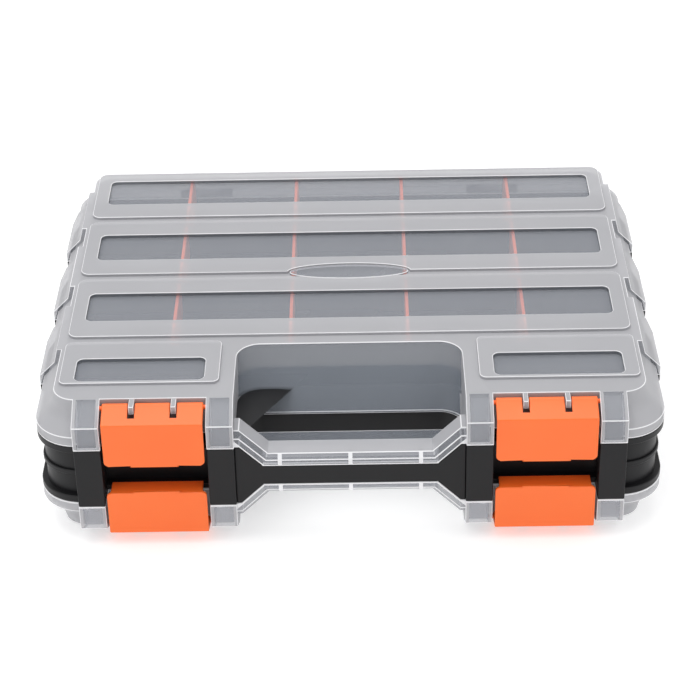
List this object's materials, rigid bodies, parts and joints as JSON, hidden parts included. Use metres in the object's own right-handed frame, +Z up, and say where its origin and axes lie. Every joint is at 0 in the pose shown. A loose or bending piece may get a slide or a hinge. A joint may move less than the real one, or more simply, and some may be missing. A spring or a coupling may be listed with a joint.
{
  "type": "double-sided parts organiser",
  "caption": "Flat carrying case for small parts, open to compartments on both faces under hinged see-through lids with snap latches and a front handle.",
  "frame": {"origin": "on the ground under the middle of the whole object", "axes": "+Z up through both lids, +X along the handle to the right, -Y towards the handle and latches"},
  "size_m": [0.32, 0.27, 0.08],
  "materials": {
    "case_black": "fine moulded texture",
    "lid_clear": "frosted translucent with clear windows",
    "latch_orange": "satin moulded",
    "divider_orange": "satin moulded",
    "pin_steel": "plain drawn wire"
  },
  "bodies": {
    "case": {"case_gap_wall": "case_black", "case_grip": "case_black", "case_back_wall": "case_black", "case_row1_floor": "case_black", "case_row1_wall": "case_black", "case_row2_floor": "case_black", "case_row2_wall": "case_black", "case_row3_floor": "case_black", "case_row3_wall": "case_black", "case_back_corner_left": "case_black", "case_side_left": "case_black", "case_front_left": "case_black", "case_back_corner_right": "case_black", "case_side_right": "case_black", "case_front_right": "case_black", "divider_top_row1_1": "divider_orange", "divider_top_row1_2": "divider_orange", "divider_top_row1_3": "divider_orange", "divider_top_row1_4": "divider_orange", "divider_top_row2_1": "divider_orange", "divider_top_row2_2": "divider_orange", "divider_top_row2_3": "divider_orange", "divider_top_row2_4": "divider_orange", "divider_top_row3_1": "divider_orange", "divider_top_row3_2": "divider_orange", "divider_top_row3_3": "divider_orange", "divider_top_row3_4": "divider_orange", "divider_bottom_row1_1": "divider_orange", "divider_bottom_row1_2": "divider_orange", "divider_bottom_row1_3": "divider_orange", "divider_bottom_row1_4": "divider_orange", "divider_bottom_row2_1": "divider_orange", "divider_bottom_row2_2": "divider_orange", "divider_bottom_row2_3": "divider_orange", "divider_bottom_row2_4": "divider_orange", "divider_bottom_row3_1": "divider_orange", "divider_bottom_row3_2": "divider_orange", "divider_bottom_row3_3": "divider_orange", "divider_bottom_row3_4": "divider_orange", "hinge_pin_top_left": "pin_steel", "hinge_pin_top_right": "pin_steel", "hinge_pin_bottom_left": "pin_steel", "hinge_pin_bottom_right": "pin_steel"},
    "top_lid": {"top_lid": "lid_clear"},
    "bottom_lid": {"bottom_lid": "lid_clear"},
    "latch_top_left": {"latch_top_left": "latch_orange"},
    "latch_top_right": {"latch_top_right": "latch_orange"},
    "latch_bottom_left": {"latch_bottom_left": "latch_orange"},
    "latch_bottom_right": {"latch_bottom_right": "latch_orange"}
  },
  "joints": [
    {"name": "top_lid_hinge", "type": "hinge", "parent": "case", "child": "top_lid", "pos_m": [0, 0.132, 0.057], "axis": [-1, 0, 0], "range_deg": [0, 110]},
    {"name": "bottom_lid_hinge", "type": "hinge", "parent": "case", "child": "bottom_lid", "pos_m": [0, 0.132, 0.023], "axis": [1, 0, 0], "range_deg": [0, 110]},
    {"name": "latch_top_left_pivot", "type": "hinge", "parent": "top_lid", "child": "latch_top_left", "pos_m": [-0.097, -0.1226, 0.0748], "axis": [-1, 0, 0], "range_deg": [0, 95]},
    {"name": "latch_top_right_pivot", "type": "hinge", "parent": "top_lid", "child": "latch_top_right", "pos_m": [0.097, -0.1226, 0.0748], "axis": [-1, 0, 0], "range_deg": [0, 95]},
    {"name": "latch_bottom_left_pivot", "type": "hinge", "parent": "bottom_lid", "child": "latch_bottom_left", "pos_m": [-0.097, -0.1226, 0.0052], "axis": [1, 0, 0], "range_deg": [0, 95]},
    {"name": "latch_bottom_right_pivot", "type": "hinge", "parent": "bottom_lid", "child": "latch_bottom_right", "pos_m": [0.097, -0.1226, 0.0052], "axis": [1, 0, 0], "range_deg": [0, 95]}
  ]
}
